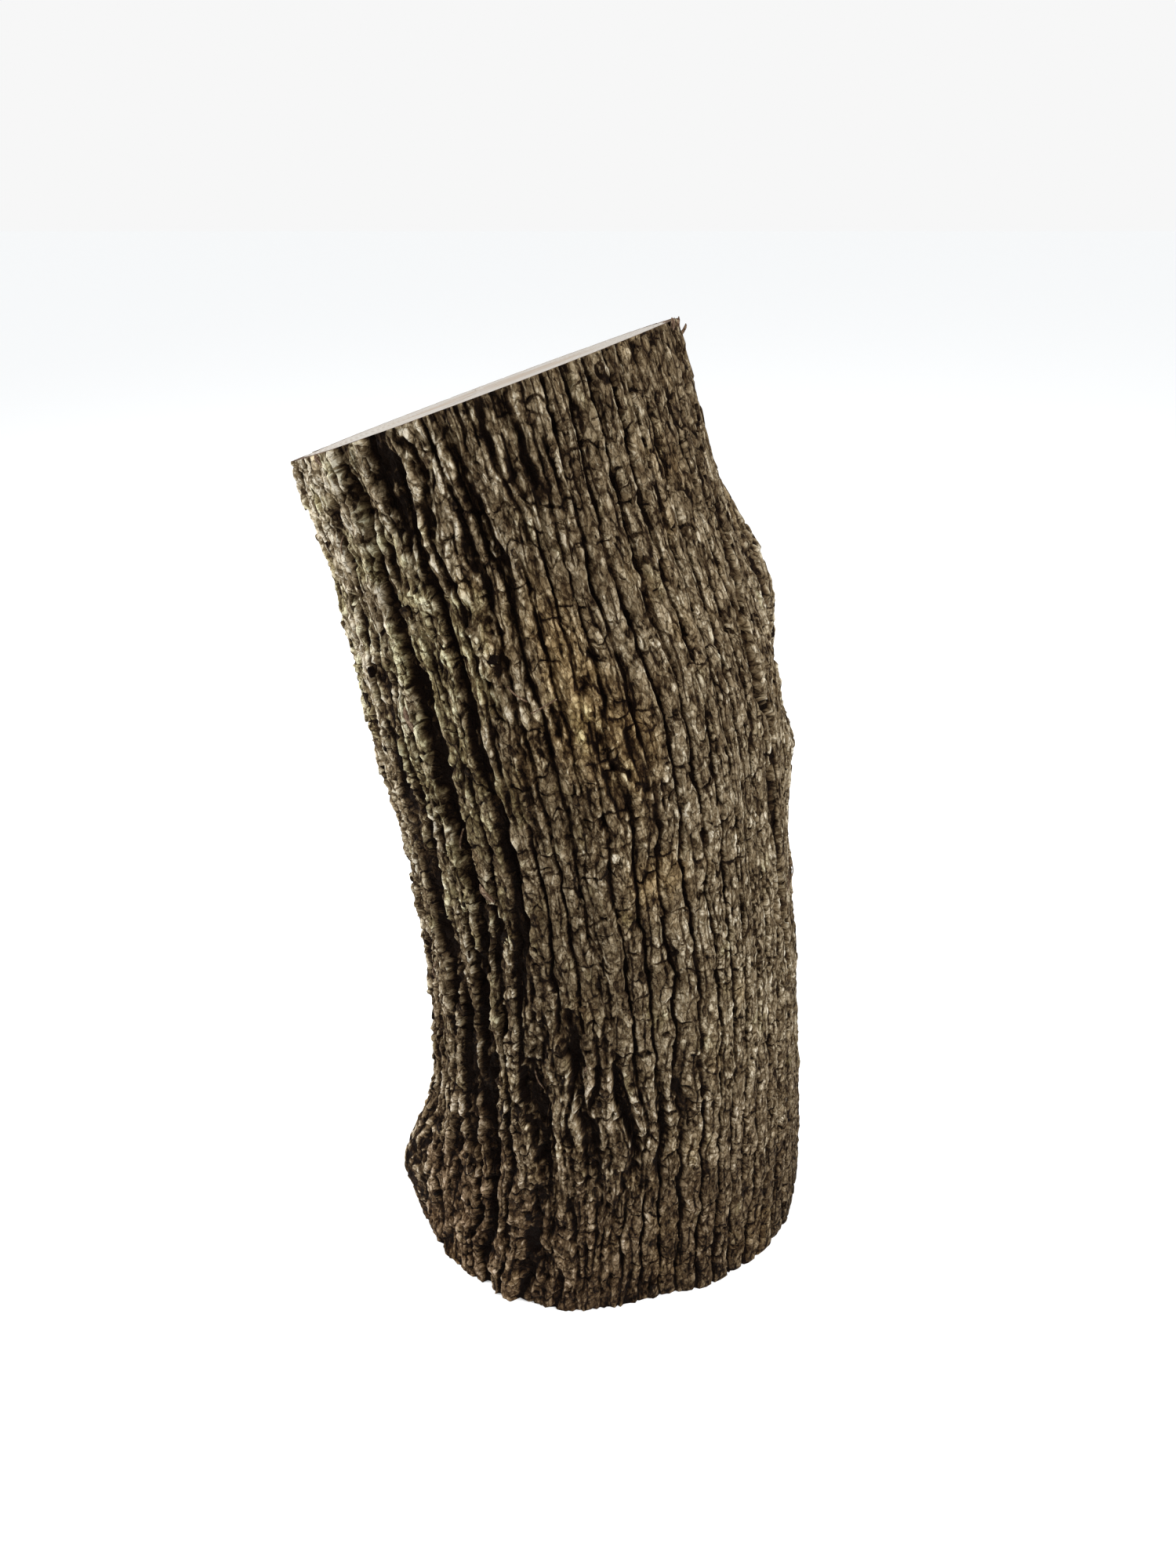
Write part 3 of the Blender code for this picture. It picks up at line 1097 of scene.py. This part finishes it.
def barkLines(tree, jag, rugged):
    # all the dark lines, each kind on the side where its furrows are: painted shade in the colour, and a dip
    # in the bump
    sides = {"even": maths(tree, "SUBTRACT", 1.0, rugged), "low": rugged}
    lines = None
    for name, (ragged, low, high, strength) in barkLook["lines"].items():
        line = maths(tree, "MULTIPLY", strandLine(tree, name, jag, ragged, low, high), strength)
        line = maths(tree, "MULTIPLY", line, sides[name]) if name in sides else line
        lines = line if lines is None else maths(tree, "MAXIMUM", lines, line)
    return lines


def makeBarkMaterial():
    material, tree, shader = makeMaterial("bark")
    grainPlace = attribute(tree, "grainPlace", "Vector")
    place = stretched(tree, grainPlace, (1.0, 1.0, 0.62))
    scalePlace = stretched(tree, grainPlace, (1.0, 1.0, 0.50))
    fibres = stretched(tree, grainPlace, (1.0, 1.0, 0.18))
    jag = noise(tree, place, 300, 3.0, 0.65)
    shade, crack, scaleHeight = brokenScales(tree, place, 230)
    plate, plateCrackShade, plateHeight = brokenScales(tree, scalePlace, 92)
    patterns = {
        "grit": noise(tree, place, 560, 4.0, 0.72),
        "blotch": noise(tree, place, 110, 3.0, 0.60),
        "fibre": noise(tree, fibres, 640, 3.0, 0.6),
        "shade": shade, "crack": crack, "plate": plate, "plateCrackShade": plateCrackShade,
    }
    lines = barkLines(tree, jag, attribute(tree, "rugged"))
    level = attribute(tree, "light")
    for name, (amount, centre) in barkLook["shares"].items():
        level = addShare(tree, level, patterns[name], amount, centre)
    # painted shade along the cracks and furrows
    level = maths(tree, "MULTIPLY_ADD", lines, barkLook["lineShadeShare"], level)
    colour = ramp(tree, level, barkLook["stops"])
    for name in ("ochre", "lichen", "darkerLow"):
        tinted = mixColour(tree, 1.0, colour, barkLook[name], "MULTIPLY")
        colour = mixColour(tree, attribute(tree, name), colour, tinted)
    tree.links.new(colour, shader.inputs["Base Color"])
    tree.links.new(between(tree, level, 0.0, 1.0, 0.96, 0.80), shader.inputs["Roughness"])
    shader.inputs["Specular IOR Level"].default_value = 0.08
    broad = maths(tree, "MULTIPLY_ADD", lines, -1.8, scaleHeight)
    broad = maths(tree, "MULTIPLY_ADD", plateHeight, 1.3, broad)
    fine = maths(tree, "MULTIPLY_ADD", patterns["fibre"], 0.6, patterns["grit"])
    normal = bump(tree, fine, 0.8, 0.0013, bump(tree, broad, 0.9, 0.0012))
    tree.links.new(normal, shader.inputs["Normal"])
    return material


# Sawn wood: pale, with rings about a pith a little off the middle
woodLook = {
    "pale": (0.360, 0.335, 0.300),
    "ring": (0.195, 0.162, 0.124),
    "heart": (0.235, 0.180, 0.130),
    "grey": (0.340, 0.332, 0.322),
    "ray": (0.190, 0.125, 0.070),
    "sawMark": (0.220, 0.165, 0.110),
    "checkShade": (0.030, 0.018, 0.010),
    "radius": 0.17,
    "ringSpacing": 0.0046,
    "pithOffset": (0.012, -0.009),
}


def checkLines(tree, parts, jag):
    # the drying checks as thin dark lines that taper at both ends, painted shade inside the checks
    x = maths(tree, "ADD", parts.outputs[0], woodLook["pithOffset"][0])
    y = maths(tree, "ADD", parts.outputs[1], woodLook["pithOffset"][1])
    total = None
    for degrees, inner, outer, width, _ in ends["checks"]:
        cosine, sine = math.cos(math.radians(degrees)), math.sin(math.radians(degrees))
        along = maths(tree, "MULTIPLY_ADD", x, cosine, maths(tree, "MULTIPLY", y, sine))
        across = maths(tree, "MULTIPLY_ADD", x, -sine, maths(tree, "MULTIPLY", y, cosine))
        off = maths(tree, "ABSOLUTE", addShare(tree, across, jag, 0.006))
        start, end = inner * woodLook["radius"], outer * woodLook["radius"]
        fading = between(tree, along, end - 0.06, end, 1.0, 0.0)
        gape = maths(tree, "MULTIPLY", between(tree, along, start, start + 0.03), fading)
        reach = maths(tree, "MULTIPLY", gape, width * 1.1)
        line = between(tree, maths(tree, "SUBTRACT", off, reach), -0.0008, 0.0006, 1.0, 0.0)
        line = maths(tree, "MULTIPLY", line, between(tree, gape, 0.02, 0.10))
        total = line if total is None else maths(tree, "MAXIMUM", total, line)
    return total


def makeWoodMaterial():
    material, tree, shader = makeMaterial("cutWood")
    face = attribute(tree, "facePlace", "Vector")
    wander = noise(tree, face, 9, 3.0, 0.5)
    parts = addNode(tree, "ShaderNodeSeparateXYZ", links={"Vector": face})
    squares = maths(tree, "MULTIPLY", parts.outputs[0], parts.outputs[0])
    squares = maths(tree, "MULTIPLY_ADD", parts.outputs[1], parts.outputs[1], squares)
    reach = maths(tree, "SQRT", squares)
    warped = addShare(tree, reach, wander, 0.030)
    rings = maths(tree, "DIVIDE", warped, woodLook["ringSpacing"])
    unevenRings = addShare(tree, rings, noise(tree, face, 26, 2.0, 0.5), 1.1)
    year = maths(tree, "FRACT", unevenRings)
    late = between(tree, year, 0.30, 0.97)
    bearing = maths(tree, "ARCTAN2", parts.outputs[1], parts.outputs[0])
    polar = {"X": maths(tree, "MULTIPLY", bearing, 38.0), "Y": maths(tree, "MULTIPLY", reach, 26.0)}
    raysPlace = addNode(tree, "ShaderNodeCombineXYZ", links=polar).outputs[0]
    rays = noise(tree, raysPlace, 3.0, 3.0, 0.7)
    sawPlace = stretched(tree, face, (14.0, 420.0, 1.0))
    sawMarks = noise(tree, sawPlace, 1.0, 2.0, 0.6)
    colour = mixColour(tree, late, woodLook["pale"], woodLook["ring"])
    heart = addShare(tree, reach, noise(tree, face, 14, 3.0, 0.5), 0.05)
    heart = between(tree, heart, 0.060, 0.105, 0.75, 0.0)
    colour = mixColour(tree, heart, colour, woodLook["heart"])
    weather = between(tree, noise(tree, face, 22, 4.0, 0.65), 0.42, 0.66, 0.0, 0.55)
    colour = mixColour(tree, weather, colour, woodLook["grey"])
    colour = mixColour(tree, between(tree, rays, 0.56, 0.70, 0.0, 0.40), colour, woodLook["ray"])
    colour = mixColour(tree, between(tree, sawMarks, 0.35, 0.62, 0.30, 0.0), colour, woodLook["sawMark"])
    split = checkLines(tree, parts, noise(tree, face, 60, 3.0, 0.6))
    # painted shade in the drying checks
    colour = mixColour(tree, split, colour, woodLook["checkShade"])
    tree.links.new(colour, shader.inputs["Base Color"])
    tree.links.new(between(tree, late, 0.0, 1.0, 0.78, 0.62), shader.inputs["Roughness"])
    height = maths(tree, "ADD", maths(tree, "MULTIPLY", sawMarks, 1.2), maths(tree, "MULTIPLY", late, 0.25))
    height = maths(tree, "MULTIPLY_ADD", split, -2.0, height)
    tree.links.new(bump(tree, height, 0.6, 0.0007), shader.inputs["Normal"])
    return material


# The bark's sawn edge, and torn bark on the splinters
sectionStops = ((0.15, (0.020, 0.011, 0.006)), (0.45, (0.090, 0.050, 0.026)), (0.75, (0.205, 0.130, 0.076)))
tornStops = ((0.25, (0.020, 0.010, 0.005)), (0.50, (0.088, 0.050, 0.028)), (0.78, (0.290, 0.215, 0.140)))


def makeBarkSectionMaterial():
    # dark, in thin layers
    material, tree, shader = makeMaterial("barkSection")
    face = attribute(tree, "facePlace", "Vector")
    shade, crack, height = brokenScales(tree, face, 260)
    grit = noise(tree, face, 600, 3.0, 0.7)
    level = addShare(tree, grit, shade, 0.45)
    # painted shade in the cracks between the layers
    level = addShare(tree, level, crack, -0.25, 0.0)
    tree.links.new(ramp(tree, level, sectionStops), shader.inputs["Base Color"])
    shader.inputs["Roughness"].default_value = 0.9
    shader.inputs["Specular IOR Level"].default_value = 0.25
    tree.links.new(bump(tree, height, 0.8, 0.0012), shader.inputs["Normal"])
    return material


def makeSplinterMaterial():
    # dark red-brown with pale fibres
    material, tree, shader = makeMaterial("tornBark")
    place = addNode(tree, "ShaderNodeTexCoord").outputs["Object"]
    fibre = noise(tree, stretched(tree, place, (1.0, 1.0, 0.25)), 900, 3.0, 0.6)
    level = addShare(tree, fibre, noise(tree, place, 240, 3.0, 0.6), 0.8)
    tree.links.new(ramp(tree, level, tornStops), shader.inputs["Base Color"])
    shader.inputs["Roughness"].default_value = 0.85
    shader.inputs["Specular IOR Level"].default_value = 0.15
    tree.links.new(bump(tree, fibre, 0.7, 0.0006), shader.inputs["Normal"])
    return material


def keepFacePlace(mesh):
    # each point's place on its sawn face, from the pith
    points = readPoints(mesh)
    height = readValues(mesh, "place")[:, 2]
    flat = np.zeros(points.shape)
    for shareAtEnd in (0.0, 1.0):
        middle, sideways, backwards = (part[0] for part in trunkSection(np.array([shareAtEnd])))
        here = np.abs(height - shareAtEnd) < 0.5
        offset = points[here] - middle
        flat[here, 0] = offset @ sideways - woodLook["pithOffset"][0]
        flat[here, 1] = offset @ backwards - woodLook["pithOffset"][1]
        flat[here, 2] = shareAtEnd
    keepValues(mesh, "facePlace", flat)


keepFacePlace(log.data)
for material in (makeBarkMaterial(), makeBarkSectionMaterial(), makeWoodMaterial()):
    log.data.materials.append(material)
looseScales.data.materials.append(log.data.materials[0])
splinterPiece.data.materials.append(makeSplinterMaterial())
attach(log, "root")
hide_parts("log")
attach(looseScales, "root")
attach(splinterPiece, "root")
print("materials made")


# Floor, light and camera
studio = {
    "cameraPlace": (0.0049, -1.0095, 1.036),
    "cameraDownDegrees": 28.0,
    "lens": 27.0,
    "worldColour": (0.96, 0.98, 1.0),
    "worldStrength": 0.84,
    "backdrop": 0.93,
    "floorColour": (0.96, 0.96, 0.955),
    "floorGlow": 0.15,
    # name, place, size, watts
    "lights": (
        ("keyLight", (1.9, -1.3, 2.5), 0.8, 74),
        ("sideLight", (-2.3, 0.2, 2.0), 0.7, 88),
    ),
}


def makeFloor():
    bpy.ops.mesh.primitive_plane_add(size=40, location=(0, 0, -0.0005))
    floor = bpy.context.active_object
    floor.name = "floor"
    material, tree, shader = makeMaterial("paleFloor")
    shader.inputs["Base Color"].default_value = (*studio["floorColour"], 1)
    shader.inputs["Emission Color"].default_value = (1, 0.99, 0.97, 1)
    shader.inputs["Emission Strength"].default_value = studio["floorGlow"]
    shader.inputs["Roughness"].default_value = 0.9
    floor.data.materials.append(material)


def makeLights():
    world = bpy.data.worlds.new("studio")
    scene.world = world
    world.use_nodes = True
    tree = world.node_tree
    soft = tree.nodes["Background"]
    soft.inputs["Color"].default_value = (*studio["worldColour"], 1)
    soft.inputs["Strength"].default_value = studio["worldStrength"]
    backdrop = addNode(tree, "ShaderNodeBackground", values={"Strength": studio["backdrop"]})
    backdrop.inputs["Color"].default_value = (1, 1, 1, 1)
    seen = addNode(tree, "ShaderNodeLightPath").outputs["Is Camera Ray"]
    mixed = addNode(tree, "ShaderNodeMixShader", links={0: seen, 1: soft.outputs[0], 2: backdrop.outputs[0]})
    tree.links.new(mixed.outputs[0], tree.nodes["World Output"].inputs["Surface"])
    for name, place, size, power in studio["lights"]:
        bpy.ops.object.light_add(type="AREA", location=place)
        light = bpy.context.active_object
        light.name = name
        light.data.size = size
        light.data.energy = power
        aim = Vector((0, 0, 0.45)) - Vector(place)
        light.rotation_euler = aim.to_track_quat("-Z", "Y").to_euler()


def makeCamera():
    bpy.ops.object.camera_add(
        location=studio["cameraPlace"],
        rotation=(math.radians(90 - studio["cameraDownDegrees"]), 0, 0),
    )
    camera = bpy.context.active_object
    camera.data.lens = studio["lens"]
    camera.data.sensor_width = 36
    camera.data.clip_start = 0.05
    scene.camera = camera


makeFloor()
makeLights()
makeCamera()
print("studio ready")
